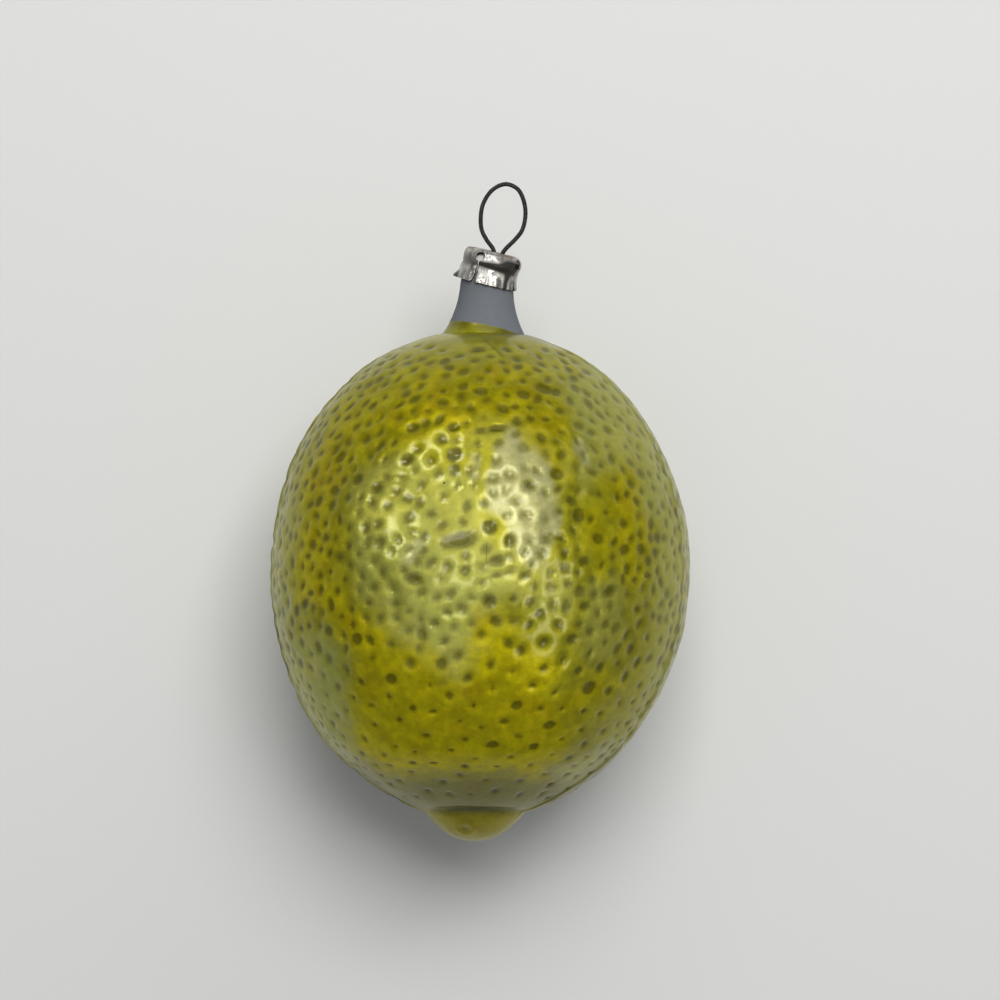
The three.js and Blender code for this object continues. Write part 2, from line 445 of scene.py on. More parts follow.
edge_row = int(np.argmin(np.abs(skin[:, 0] - NUB_EDGE_RADIUS) + (skin[:, 1] > -25) * 99))
row_distance = (np.arange(skin_rows) - edge_row)[:, None] * SKIN_SPACING
groove = bell(row_distance, GROOVE_WIDTH) * (0.25 + 0.75 * np.cos(angle) ** 2)

from_ring = np.linalg.norm(flat_skin - RING_PLACE, axis=-1)
ring = bell(from_ring - RING_RADIUS, RING_WIDTH)
ring_hollow = bell(from_ring, HOLLOW_WIDTH)

swell = sum(tall * np.sin(waves * angle + twist * skin_along + phase)
            for tall, waves, twist, phase in SWELLS)
swell = swell * smoothstep(3.0, 14.0, skin_radius) * smoothstep(30.0, 26.0, skin_along)

height = swell - sunk + SEAM_HEIGHT * seam - GROOVE_DEPTH * groove
height = height + RING_HEIGHT * ring - HOLLOW_DEPTH * ring_hollow
print("height map from", round(float(height.min()), 2), "to", round(float(height.max()), 2), "mm")

# %% [markdown]
# The height map moves the skin along its normals, and the lining stays smooth. The blossom end
# is then slanted a little, since the nub does not sit quite square: each point there slides
# along the axis by an amount that grows with its height. The underside is pressed flat where
# it rests, exactly as in the engineering model, by not letting any point go below the floor.
# The poles close because the first and last outline points lie on the axis, so merging doubles
# turns each of those rows into one point.

# %% Build the glass
BLOSSOM_SKEW = 0.16
MERGE_DISTANCE = 0.002

points = smooth_glass.copy()
points[:skin_rows] += outward[:skin_rows] * height[..., None]
points[..., 1] += BLOSSOM_SKEW * points[..., 2] * smoothstep(-22.0, -31.0, points[..., 1])
points[..., 2] = np.maximum(points[..., 2] + AXIS_HEIGHT, 0.0)

# The tips are single points, so their whole rows share one place
points[[0, -1], :, 0] = points[[0, -1], :, 0].mean(axis=1, keepdims=True)
points[[0, -1], :, 2] = points[[0, -1], :, 2].mean(axis=1, keepdims=True)
lime = make_mesh("lime_glass", points.reshape(-1, 3) * MM, grid_faces(len(outline), AROUND, True))


def close_gaps(piece):
    """Merges points that coincide, which closes a grid's poles and its meeting edges."""
    work = bmesh.new()
    work.from_mesh(piece.data)
    before = len(work.verts)
    bmesh.ops.remove_doubles(work, verts=work.verts, dist=MERGE_DISTANCE * MM)
    open_edges = sum(not e.is_manifold for e in work.edges)
    print(piece.name, "merged", before - len(work.verts), "points and has", open_edges, "open edges")
    work.to_mesh(piece.data)
    work.free()


# %% [markdown]
# ## Where the paint goes
#
# The lacquer was wiped and brushed on, and it has worn since. Painted areas are described as a
# few brush strokes. A stroke runs between two plan positions and its half width changes from
# one end to the other. How far a point is inside a stroke is the stroke's half width there,
# less the point's distance to the stroke's line. The largest such depth over all strokes is
# stored at each point of the mesh, in millimetres. The material then draws the edge where it
# is zero, and it can roughen that edge with noise much finer than the mesh.
#
# Strokes are laid out as seen from above. Below the widest line the plan is slowly turned and
# shifted as it goes down, so the underside carries different patches that still join up.

# %% Brush strokes
# plan x and y at both ends, then the half widths at both ends
OCHRE_STROKES = [
    (-19.5, 11.0, -15.5, 17.5, 2.6, 3.6), (-15.5, 17.5, -6.0, 21.0, 3.6, 4.4),
    (-6.0, 21.0, 4.0, 21.5, 4.4, 4.2), (4.0, 21.5, 8.6, 17.5, 4.0, 2.6),
    (8.2, 17.0, 9.8, 11.0, 2.4, 0.9), (-20.3, 11.0, -20.5, -2.0, 2.4, 2.6),
    (-20.5, -2.0, -15.8, -7.0, 2.4, 2.0), (-15.3, -7.0, -9.5, -14.0, 2.2, 3.4),
    (-9.5, -15.0, -8.5, -21.5, 6.0, 6.0), (-8.5, -20.5, 5.0, -20.0, 6.8, 6.4),
    (1.5, -14.0, 6.5, -13.5, 4.2, 3.6), (1.0, -7.5, 3.0, -10.5, 2.0, 2.6),
    (4.5, -21.5, 7.0, -26.5, 4.6, 1.6), (17.3, 10.2, 18.2, 4.0, 2.3, 2.5),
    (14.2, 6.5, 14.6, 0.5, 1.5, 1.3), (18.2, 4.0, 19.0, -0.5, 2.3, 1.3),
    (11.0, -17.0, 16.0, -14.0, 1.5, 0.6),
]
PALE_STROKES = [
    (-10.2, 8.0, -9.2, -4.0, 5.6, 5.8), (-9.2, -4.0, -7.0, -9.0, 5.2, 3.6),
    (-2.6, -6.0, -2.3, -13.5, 2.2, 1.35), (-2.3, -13.5, -2.1, -16.6, 1.2, 0.4),
    (-4.0, 8.0, -1.0, -2.0, 4.0, 4.0), (4.5, 0.0, 9.5, -3.5, 3.4, 2.6),
    (15.7, 21.0, 15.6, 14.6, 4.6, 3.9), (13.4, 12.6, 12.7, 10.4, 1.6, 0.7),
    (20.5, 18.0, 22.5, 8.0, 3.8, 2.4), (15.6, -3.0, 15.2, -9.0, 2.6, 2.4),
    (25.0, 5.0, 22.4, -14.0, 2.2, 1.6), (-20.0, -12.0, -17.5, -23.0, 3.8, 3.2),
    (11.5, -27.0, 17.5, -21.0, 1.5, 1.1), (-25.2, 8.0, -25.6, -6.0, 1.8, 1.8),
]
WORN_STROKES = [
    (3.6, 16.2, 5.2, 12.0, 1.0, 2.4), (5.4, 12.0, 6.4, 6.0, 2.9, 3.3),
    (6.4, 6.0, 6.6, 1.8, 3.2, 1.8), (2.7, 13.6, 2.3, 8.0, 1.3, 1.6),
    (-0.5, 13.2, -0.8, 11.0, 0.7, 0.4), (12.2, 14.6, 13.0, 13.2, 0.8, 0.4),
    (15.8, -23.0, 17.0, -21.8, 0.9, 0.4), (-6.6, 3.6, -8.6, 1.0, 0.8, 0.5),
]
UNDERSIDE_TURN = 1.15
UNDERSIDE_SHIFT = 0.22
FAR_OUTSIDE = -50.0


def plan_view(places):
    """Plan position of each point, turned and shifted more the further it lies underneath."""
    under = np.minimum(0.0, places[..., 2])
    turned = UNDERSIDE_TURN * under / FRUIT_RADIUS
    c, s = np.cos(turned), np.sin(turned)
    x, y = places[..., 0], places[..., 1]
    return c * x - s * y, s * x + c * y + UNDERSIDE_SHIFT * under


def stroke_depth(x, y, strokes):
    """The largest of (half width - distance to the stroke's line) over all the strokes."""
    depth = np.full(x.shape, FAR_OUTSIDE)
    for x0, y0, x1, y1, half0, half1 in strokes:
        dx, dy = x1 - x0, y1 - y0
        t = np.clip(((x - x0) * dx + (y - y0) * dy) / (dx * dx + dy * dy), 0.0, 1.0)
        distance = np.hypot(x - x0 - t * dx, y - y0 - t * dy)
        depth = np.maximum(depth, half0 + t * (half1 - half0) - distance)
    return depth


plan_x, plan_y = plan_view(smooth_glass)
ochre = stroke_depth(plan_x, plan_y, OCHRE_STROKES)
pale = stroke_depth(plan_x, plan_y, PALE_STROKES)
worn = stroke_depth(plan_x, plan_y, WORN_STROKES)
print("share of the skin that is ochre:", round(float((ochre > 0).mean()), 2))

# %% [markdown]
# The neck was not painted. The fruit was dipped in lacquer at a slant, so the line where the
# paint stops is a tilted plane round the neck. The depth below that line is stored too, with
# the dimples' pigment, the groove and the hollow in the nub's small ring. The lining is bare
# glass, so it gets zeros for what only the skin has.

# %% Store the masks
DIP_MIDDLE = 30.2
DIP_FORWARD = 0.60
DIP_SIDEWAYS = -0.93

dip_line = DIP_MIDDLE + DIP_FORWARD * np.cos(angle) + DIP_SIDEWAYS * np.sin(angle)
dipped = dip_line - along
dipped[skin_rows:] = dip_line - MOUTH_DISTANCE


def over_lining(values):
    """The skin's values, with zeros for the lining's rows."""
    lining_rows = np.zeros((len(outline) - skin_rows, AROUND))
    return np.concatenate([values + np.zeros((skin_rows, AROUND)), lining_rows])


masks = {
    "pigment": over_lining(pigment),
    "ochre": ochre,
    "pale": pale,
    "worn": worn,
    "dipped": dipped,
    "groove": over_lining(groove),
    "ring": over_lining(ring_hollow),
}
for name, values in masks.items():
    values[[0, -1]] = values[[0, -1]].mean(axis=1, keepdims=True)
    add_attribute(lime, name, values)
close_gaps(lime)
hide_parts("glass_lime")
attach(lime, "root")

# %% [markdown]
# ## The cap
#
# The cap is stamped from thin tinned sheet. Four keyholes let its skirt spring over the neck:
# a round hole, and a slit that widens down to the edge. Cutting them with boolean tools would
# leave ragged triangles, so the grid itself goes round them. The sheet is four panels. At
# each height a panel starts and ends half a gap away from the keyhole's middle, and the gap is
# the slit's width, the hole's chord, or nothing above the hole, where two panels meet.
#
# The outline is a skirt, a sharp crease and a rounded crown. The top plate carries on inwards
# from the crown to the edge of its long slot.

# %% Cap outline
cap_low, cap_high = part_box("cap")
SHEET = 0.2
CAP_HEIGHT = 4.2
SKIRT_RADIUS = 3.95
CREASE_RADIUS = 3.72
CREASE_HEIGHT = 2.2
CROWN_RADIUS = 3.9
CROWN_BULGE = 0.1
CROWN_START = 0.3
CAP_TOP_RADIUS = 2.9
KEYHOLE_HEIGHT = 3.3
KEYHOLE_RADIUS = 0.7
SLIT_TOP_HALF = 0.10
SLIT_FOOT_HALF = 0.27
FOOT_ROUNDING = 0.2
FIRST_KEYHOLE = math.radians(-25)
PANELS = 4
SKIRT_ROWS, HOLE_ROWS, CROWN_ROWS = 31, 25, 6

skirt = bezier((SKIRT_RADIUS, 0.0), (CREASE_RADIUS, CREASE_HEIGHT / 2),
               (CREASE_RADIUS, CREASE_HEIGHT))
crown = bezier((CREASE_RADIUS, CREASE_HEIGHT), (CROWN_RADIUS, CREASE_HEIGHT + CROWN_START),
               (CROWN_RADIUS + CROWN_BULGE, CAP_HEIGHT), (CAP_TOP_RADIUS, CAP_HEIGHT))
side = np.concatenate([skirt, crown[1:]])


def side_at(heights):
    """Radius of the cap's side at the given heights."""
    return np.interp(heights, side[:, 1], side[:, 0])


hole_low, hole_high = KEYHOLE_HEIGHT - KEYHOLE_RADIUS, KEYHOLE_HEIGHT + KEYHOLE_RADIUS
hole_turn = np.linspace(math.pi, 0.0, HOLE_ROWS)[1:]
below_hole = np.linspace(0.0, hole_low, SKIRT_ROWS)
in_hole = KEYHOLE_HEIGHT + KEYHOLE_RADIUS * np.cos(hole_turn)
above_hole = np.linspace(hole_high, CAP_HEIGHT, CROWN_ROWS)[1:]
side_heights = np.concatenate([below_hole, in_hole, above_hole])
side_radii = side_at(side_heights)

chord = np.sqrt(np.maximum(0.0, KEYHOLE_RADIUS ** 2 - (side_heights - KEYHOLE_HEIGHT) ** 2))
slit = np.interp(side_heights, [0.0, hole_low], [SLIT_FOOT_HALF, SLIT_TOP_HALF])
slit = slit + FOOT_ROUNDING * np.exp(-side_heights / FOOT_ROUNDING)
half_gap = np.where(side_heights < KEYHOLE_HEIGHT, np.maximum(slit, chord), chord)
print("cap rows:", len(side_heights), "widest half gap:", round(float(half_gap.max()), 2), "mm")

# %% [markdown]
# Now the panels. The column parameter u runs from 0 to 1 across a panel, and the angle is
# interpolated between its two edges. The handwork shows in small moves of the radius: shallow
# flutes where the skirt was crimped, a bent corner on one panel, a raised burr round each
# keyhole, and a few soft dents. The top plate is interpolated from the crown to the slot.
#
# The tin is painted nearly black in a few places. Under the crown and beside the second keyhole
# these are painted dark reflections of the room. On the bent corner they are tarnish with
# painted shade where the corner turns away. Each is a soft spot in height and u, and their sum
# is stored as tarnish and dark reflection.

# %% Cap details
ACROSS_PANEL = 45
TOP_ROWS = 13
FLUTE_DEPTH = 0.075
FLUTES = 17
BURR_HEIGHT, BURR_WIDTH = 0.07, 0.16
CREASE_DEPTH, CREASE_WIDTH = 0.07, 0.28
CURL_HEIGHT, CURL_WIDTH = 0.10, 0.30
CORNER_BEND = 0.46
SLOT_OFFSET = 0.4
SLOT_HALF_LENGTH = 1.5
SLOT_HALF_WIDTH = 0.62
# Dark spots on the front panel, painted dark reflections of the room.
# strength, height and its half width, place across the front panel and its half width
FRONT_DARK_REFLECTIONS = [(1.5, 2.75, 0.75, 0.84, 0.34), (1.3, 2.45, 0.36, 0.40, 0.45)]


def slot_edge(a):
    """Distance from the slot's middle to its stadium-shaped edge in the direction of angle a."""
    straight = SLOT_HALF_LENGTH - SLOT_HALF_WIDTH
    c, s = np.abs(np.sin(a)), np.abs(np.cos(a))
    to_side = SLOT_HALF_WIDTH / np.maximum(s, 1e-6)
    to_end = straight * c + np.sqrt(np.maximum(0.0, SLOT_HALF_WIDTH ** 2 - (straight * s) ** 2))
    return np.where(to_side * c <= straight, to_side, to_end)


print("slot, mm:", 2 * SLOT_HALF_LENGTH, "by", 2 * SLOT_HALF_WIDTH)


def handwork(a, high, edge):
    """What crimping, burrs, the crease, dents and curled edges add to the side's radius."""
    low_part = smoothstep(CREASE_HEIGHT - 0.1, 0.2, high)
    flutes = FLUTE_DEPTH * low_part * np.cos(FLUTES * a + 0.8 * np.sin(3 * a))
    burr = BURR_HEIGHT * bell(edge, BURR_WIDTH) * smoothstep(hole_low - 0.1, hole_low + 0.15, high)
    burr *= smoothstep(hole_high + 0.02, hole_high - 0.1, high)
    crease = -CREASE_DEPTH * bell(high - CREASE_HEIGHT, CREASE_WIDTH)
    dents = 0.05 * np.sin(5 * a + 2.1 * high) + 0.035 * np.sin(8 * a - 3.0 * high)
    curl = CURL_HEIGHT * bell(edge, CURL_WIDTH) * smoothstep(1.9, 0.4, high)
    return flutes + burr + crease + dents * smoothstep(0.0, 1.0, high) + curl


def corner(number, u, high):
    """1 at the bent corner of the last panel, falling to 0 up and across it."""
    return (number == PANELS - 1) * smoothstep(0.58, 0.42, u) * smoothstep(1.25, 0.1, high)


def tarnish_and_reflection_of(number, u, high):
    """How dark the tin is painted, as tarnish, painted dark reflections and painted shade: the sum of
    its soft spots.
    """
    dark = corner(number, u, high)
    for strength, middle, tall, place, wide in FRONT_DARK_REFLECTIONS:
        dark = dark + strength * bell(high - middle, tall) * bell(u - place, wide) * (number == 0)
    dark = dark + 0.8 * bell(u - 0.74, 0.07) * smoothstep(2.3, 1.6, high) * (number == 0)
    return dark + 0.40 * bell(high - 2.8, 0.8) * (number == PANELS - 1)


# %% [markdown]
# One function makes any of the four panels, side first and top plate after it, and a loop calls
# it four times. Its points are in the cap's own frame, with y up the cap and the base at zero.

# %% Cap panels
def cap_panel(number):
    """Points of one panel as (x, y, z) with y up the cap, their edge distance, and their tarnish with
    painted dark reflections and shade.
    """
    u = np.linspace(0.0, 1.0, ACROSS_PANEL)
    start = FIRST_KEYHOLE + number * 2 * math.pi / PANELS
    gap = (half_gap / side_radii)[:, None]
    a = start + gap + u * (2 * math.pi / PANELS - 2 * gap)
    high = side_heights[:, None] + 0.0 * a
    edge = np.minimum(a - start - gap, start + 2 * math.pi / PANELS - gap - a) * side_radii[:, None]
    r = side_radii[:, None] + handwork(a, high, edge) + CORNER_BEND * corner(number, u, high)
    dark = tarnish_and_reflection_of(number, u, high)

    rim = np.stack([r * np.sin(a), high, r * np.cos(a)], -1)
    t = np.linspace(0.0, 1.0, TOP_ROWS)[1:, None]
    last = a[-1]
    reach = slot_edge(last)
    slot = np.stack([SLOT_OFFSET + reach * np.sin(last), 0 * last + CAP_HEIGHT,
                     reach * np.cos(last)], -1)
    top = rim[-1] + t[..., None] * (slot - rim[-1])
    top[..., 1] += 0.05 * np.sin(math.pi * t) - 0.06 * t ** 3
    inner_edge = (1 - t) * np.hypot(*(rim[-1] - slot)[:, [0, 2]].T)
    dark_top = np.zeros(inner_edge.shape)
    return (np.concatenate([rim, top]), np.concatenate([edge, inner_edge]),
            np.concatenate([dark, dark_top]))


panels = [cap_panel(number) for number in range(PANELS)]
panel_points = np.array([p for p, e, d in panels])
panel_edges = np.array([e for p, e, d in panels])
panel_tarnish_and_reflection = np.array([d for p, e, d in panels])
print("panels:", panel_points.shape)

# %% [markdown]
# The cap is turned on the neck and tips up a little. Both turns are rotations about its own
# base, and its place comes from the engineering model's box.

# %% Place the cap
CAP_TURN = math.radians(13.25)
CAP_TILT = math.radians(6.5)
c, s = math.cos(CAP_TURN), math.sin(CAP_TURN)
about_up = np.array([[c, s, 0], [-s, c, 0], [0, 0, 1]])
c, s = math.cos(CAP_TILT), math.sin(CAP_TILT)
about_across = np.array([[1, 0, 0], [0, c, -s], [0, s, c]])
cap_rotation = about_up @ about_across

plain_angle = np.linspace(0, 2 * math.pi, 90)[:, None]
plain = np.stack([side[:, 0] * np.sin(plain_angle), side[:, 1] + 0 * plain_angle,
                  side[:, 0] * np.cos(plain_angle)], -1) @ cap_rotation.T
plain_middle = (plain.min(axis=(0, 1)) + plain.max(axis=(0, 1))) / 2
cad_middle = np.array((cap_low + cap_high) / 2) / MM
cap_base = cad_middle - plain_middle
print("cap base, mm:", cap_base.round(2))

cap_points = panel_points @ cap_rotation.T + cap_base
panel_rows, panel_columns = panel_points.shape[1:3]
panel_faces = grid_faces(panel_rows, panel_columns, False)
cap_faces = np.concatenate([panel_faces + k * panel_rows * panel_columns for k in range(PANELS)])
cap = make_mesh("tin_cap", cap_points.reshape(-1, 3) * MM, cap_faces)
add_attribute(cap, "edge", panel_edges)
add_attribute(cap, "height", panel_points[..., 1])
add_attribute(cap, "tarnish_and_dark_reflection", panel_tarnish_and_reflection)
close_gaps(cap)
sheet_thickness = cap.modifiers.new("sheet", "SOLIDIFY")
sheet_thickness.thickness = SHEET * MM
sheet_thickness.offset = -1.0
sheet_thickness.use_even_offset = True
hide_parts("cap")
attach(cap, "root")

# %% [markdown]
# ## The hanger
#
# One piece of spring wire makes a tear-shaped loop, and its two legs go down through the slot
# and spread in the neck. Its middle line is a smooth curve through a few chosen points. A
# Catmull-Rom curve suits bent wire, because it passes through its points, and choosing its
# knots by the square root of the distance keeps it from overshooting where they are close.

# %% Wire route
# plan positions of the middle line, in millimetres, as in the engineering model
WIRE_ROUTE = np.array([
    (-3.2, 28), (-1.9, 32), (-1.0, 35.5), (-0.1, 37.8), (0.95, 39.4), (1.2, 40.6),
    (0.2, 42.1), (-0.4, 43.3), (-0.55, 44.9), (-0.25, 46.7), (0.95, 48.5), (2.66, 49.25),
    (4.2, 48.6), (5.05, 46.9), (5.22, 45.1), (4.8, 43.3), (4.0, 42.2),
    (2.5, 40.6), (1.95, 39.3), (1.85, 37.8), (2.0, 35.5), (2.5, 32), (3.6, 28),
])
WIRE_STEPS = 14


def smooth_line(corners, per_span):
    """A centripetal Catmull-Rom curve: each span is blended from its four nearest points."""
    ends = 2 * corners[[0, -1]] - corners[[1, -2]]
    p = np.concatenate([ends[:1], corners, ends[1:]])
    knots = np.concatenate([[0.0], np.cumsum(np.hypot(*np.diff(p, axis=0).T) ** 0.5)])
    spans = []
    for k in range(1, len(p) - 2):
        t = np.linspace(knots[k], knots[k + 1], per_span, endpoint=False)[:, None]
        k0, k1, k2, k3 = knots[k - 1:k + 3]
        a1 = (k1 - t) / (k1 - k0) * p[k - 1] + (t - k0) / (k1 - k0) * p[k]
        a2 = (k2 - t) / (k2 - k1) * p[k] + (t - k1) / (k2 - k1) * p[k + 1]
        a3 = (k3 - t) / (k3 - k2) * p[k + 1] + (t - k2) / (k3 - k2) * p[k + 2]
        b1 = (k2 - t) / (k2 - k0) * a1 + (t - k0) / (k2 - k0) * a2
        b2 = (k3 - t) / (k3 - k1) * a2 + (t - k1) / (k3 - k1) * a3
        spans.append((k2 - t) / (k2 - k1) * b1 + (t - k1) / (k2 - k1) * b2)
    return np.concatenate([*spans, corners[-1:]])


line = smooth_line(WIRE_ROUTE, WIRE_STEPS)
wire_length = float(np.hypot(*np.diff(line, axis=0).T).sum())
print("wire:", len(line), "places along", round(wire_length, 1), "mm")

# %% [markdown]
# A circle is carried along the line. The line stays in one plane, so the circle needs only two
# directions: the plane's normal, and the line's own direction turned by a right angle in the
# plane. Two narrower rows at each end round the cut wire off and close it. The flat loop is
# then tipped up a little about a line across the neck.

# %% Carry the circle along
WIRE_RADIUS = 0.28
WIRE_PIVOT = 36.0
WIRE_RISE = math.atan(0.1)
WIRE_SIDES = 20
END_ROUNDING = 0.8

direction = np.gradient(line, axis=0)
direction /= np.linalg.norm(direction, axis=1, keepdims=True)
sideways = np.column_stack([-direction[:, 1], direction[:, 0]])
turned = np.linspace(0, 2 * math.pi, WIRE_SIDES, endpoint=False)
rows = [0, 0, *range(len(line)), len(line) - 1, len(line) - 1]
line_rows, side_rows = line[rows], sideways[rows]
thick_rows = np.full(len(rows), WIRE_RADIUS)
thick_rows[[0, -1]] = 0.0
thick_rows[[1, -2]] = END_ROUNDING * WIRE_RADIUS
in_plane = (thick_rows[:, None] * np.cos(turned))[..., None]
out_of_plane = (thick_rows[:, None] * np.sin(turned))[..., None]
wire_grid = np.concatenate(
    [line_rows[:, None, :] + in_plane * side_rows[:, None, :], out_of_plane], axis=-1)
wire_grid[..., 1] -= WIRE_PIVOT
c, s = math.cos(WIRE_RISE), math.sin(WIRE_RISE)
lift = np.array([[1, 0, 0], [0, c, -s], [0, s, c]])
wire_grid = wire_grid @ lift.T + np.array([0.0, WIRE_PIVOT, AXIS_HEIGHT])
wire = make_mesh("spring_wire", wire_grid.reshape(-1, 3) * MM,
                 grid_faces(len(rows), WIRE_SIDES, True))
close_gaps(wire)
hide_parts("hanger_wire")
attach(wire, "root")

# %% [markdown]
# ## Materials
#
# Every finish is a network of nodes. Writing them by hand takes many lines, so small helpers
# keep them short. The first adds any node and fills its sockets with values or links, and the
# others each make one kind of step. Patterns read Object coordinates, which stay with the piece.

# %% Node helpers
def add_node(tree, kind, settings=None, **sockets):
    """Adds a node. Sockets are given by name, with _ for a space, or as s0, s1 for their number."""
    node = tree.nodes.new(kind)
    for name, value in (settings or {}).items():
        setattr(node, name, value)
    for name, value in sockets.items():
        numbered = name[0] == "s" and name[1:].isdigit()
        socket = node.inputs[int(name[1:]) if numbered else name.replace("_", " ")]
        if isinstance(value, bpy.types.NodeSocket):
            tree.links.new(value, socket)
        else:
            socket.default_value = value
    return node


def attribute(tree, name):
    """The number stored at each point of the mesh under this name."""
    return add_node(tree, "ShaderNodeAttribute", {"attribute_name": name}).outputs["Fac"]


def math_node(tree, operation, *values):
    """One arithmetic step."""
    sockets = {f"s{k}": v for k, v in enumerate(values)}
    return add_node(tree, "ShaderNodeMath", {"operation": operation}, **sockets).outputs[0]


def times(tree, first, second):
    """Their product."""
    return math_node(tree, "MULTIPLY", first, second)


def ramp(tree, value, low, high):
    """0 below low, 1 above high and a smooth step between. Low may be the larger of the two."""
    node = add_node(tree, "ShaderNodeMapRange", {"interpolation_type": "SMOOTHSTEP", "clamp": True},
                    Value=value, From_Min=low, From_Max=high)
    return node.outputs["Result"]


def mix_colour(tree, share, under, over, blend="MIX"):
    """under where share is 0, over where it is 1."""
    node = add_node(tree, "ShaderNodeMix", {"data_type": "RGBA", "blend_type": blend},
                    s0=share, s6=under, s7=over)
    return node.outputs[2]


def paint(tree, under, over, mask, strength, blend="MIX"):
    """Lays a colour over another where the mask is 1, at a strength below 1 if it is thin."""
    return mix_colour(tree, times(tree, mask, strength), under, over, blend)


def mix_value(tree, share, under, over):
    """The same for numbers."""
    node = add_node(tree, "ShaderNodeMix", {"data_type": "FLOAT"}, s0=share, s2=under, s3=over)
    return node.outputs[0]


def noise(tree, where, scale, detail, roughness):
    """Soft random values round 0.5. Scale is in features per metre."""
    node = add_node(tree, "ShaderNodeTexNoise", None, Vector=where, Scale=scale, Detail=detail,
                    Roughness=roughness)
    return node.outputs["Fac"]


def unsettle(tree, value, random, amount):
    """Adds noise to a value, centred on 0, so that a ramp of it gets a rough edge."""
    centred = math_node(tree, "SUBTRACT", random, 0.5)
    return math_node(tree, "ADD", value, times(tree, centred, amount))


def colour(red, green, blue):
    """A colour as the 4 numbers that a socket holds."""
    return (red, green, blue, 1.0)


print("a colour for a socket:", colour(0.5, 0.5, 0.0))

# %% [markdown]
# A node group is a small network with named sockets, built once and placed in any material. In
# this version of Blender its sockets are made on the group's interface. The last two helpers
# start a material, with the Object coordinates that its patterns read, and finish it.

# %% Group and material helpers
def new_group(name, inputs, outputs):
    """An empty node group with named inputs, given as (name, kind, value), and outputs."""
    tree = bpy.data.node_groups.new(name, "ShaderNodeTree")
    for label, kind, value in inputs:
        socket = tree.interface.new_socket(label, in_out="INPUT", socket_type=kind)
        if value is not None:
            socket.default_value = value
    for label, kind in outputs:
        tree.interface.new_socket(label, in_out="OUTPUT", socket_type=kind)
    return tree, tree.nodes.new("NodeGroupInput"), tree.nodes.new("NodeGroupOutput")


def use_group(tree, group, **sockets):
    """Places a node group and returns its outputs."""
    return add_node(tree, "ShaderNodeGroup", {"node_tree": group}, **sockets).outputs


def start_material(name):
    """A material with an empty network, and the Object coordinates that its patterns read."""
    material = bpy.data.materials.new(name)
    material.use_nodes = True
    tree = material.node_tree
    tree.nodes.clear()
    where = tree.nodes.new("ShaderNodeTexCoord").outputs["Object"]
    return material, tree, where


def finish_material(piece, material, tree, shader):
    """Links the shader to the output and gives the material to the piece."""
    out = tree.nodes.new("ShaderNodeOutputMaterial")
    tree.links.new(shader.outputs["BSDF"], out.inputs["Surface"])
    piece.data.materials.append(material)
    print(material.name, "uses", len(tree.nodes), "nodes")


# %% [markdown]
# ### Two shared effects
#
# A painted edge is never a clean line. The first group takes a depth in millimetres, adds noise
# that makes the line wander, and ramps the result to a mask. It serves every lacquer layer.
#
# The second group is grime: fine specks and soft clouds that dull a surface. All three pieces
# are old, so each material places it with its own scale and amount.

# %% Shared groups
FLOAT, VECTOR = "NodeSocketFloat", "NodeSocketVector"

edge_group, edge_in, edge_out = new_group(
    "Painted edge",
    [("Where", VECTOR, None), ("Depth", FLOAT, 0.0), ("Wander", FLOAT, 1.0),
     ("Scale", FLOAT, 400.0), ("Softness", FLOAT, 0.3)],
    [("Mask", FLOAT)])
edge_noise = noise(edge_group, edge_in.outputs["Where"], 1.0, 4.0, 0.6)
edge_group.links.new(edge_in.outputs["Scale"], edge_noise.node.inputs["Scale"])
edge_depth = unsettle(edge_group, edge_in.outputs["Depth"], edge_noise,
                      edge_in.outputs["Wander"])
edge_share = math_node(edge_group, "DIVIDE", edge_depth, edge_in.outputs["Softness"])
edge_group.links.new(ramp(edge_group, edge_share, -0.5, 0.5), edge_out.inputs["Mask"])

grime_group, grime_in, grime_out = new_group(
    "Grime",
    [("Where", VECTOR, None), ("Cloud Scale", FLOAT, 200.0), ("Speck Scale", FLOAT, 2500.0),
     ("Speck Size", FLOAT, 0.3)],
    [("Clouds", FLOAT), ("Specks", FLOAT)])
grime_clouds = noise(grime_group, grime_in.outputs["Where"], 1.0, 5.0, 0.65)
grime_group.links.new(grime_in.outputs["Cloud Scale"], grime_clouds.node.inputs["Scale"])
grime_group.links.new(ramp(grime_group, grime_clouds, 0.35, 0.68), grime_out.inputs["Clouds"])
grime_cells = add_node(grime_group, "ShaderNodeTexVoronoi", None,
                       Vector=grime_in.outputs["Where"], Scale=grime_in.outputs["Speck Scale"])
speck_inside = math_node(grime_group, "LESS_THAN", grime_cells.outputs["Distance"],
                         grime_in.outputs["Speck Size"])
speck_rare = math_node(grime_group, "GREATER_THAN", grime_cells.outputs["Color"], 0.9)
grime_group.links.new(times(grime_group, speck_inside, speck_rare), grime_out.inputs["Specks"])
print("groups:", [g.name for g in bpy.data.node_groups])

# %% [markdown]
# ### Lacquered glass
#
# The finish is built up as it was painted. A green-gold ground comes first, then paler worn
# green, then saturated ochre with amber clouds in it, then places worn to the silver. The ochre
# is painted lighter on the blossom half than on the stem half, as painted light for the half
# that the lamps light less.
#
# All colours are named first. They are linear values, as the shader's sockets hold them.

# %% Lacquer colours
GROUND = colour(0.330, 0.306, 0.006)
GROUND_DARK = colour(0.235, 0.220, 0.004)
GROUND_END = colour(0.128, 0.116, 0.003)
NUB = colour(0.285, 0.240, 0.008)
PALE = colour(0.360, 0.350, 0.060)
PALE_GREEN = colour(0.305, 0.318, 0.066)
OCHRE_TOP = colour(0.380, 0.333, 0.001)
OCHRE_TOP_DEEP = colour(0.265, 0.232, 0.001)
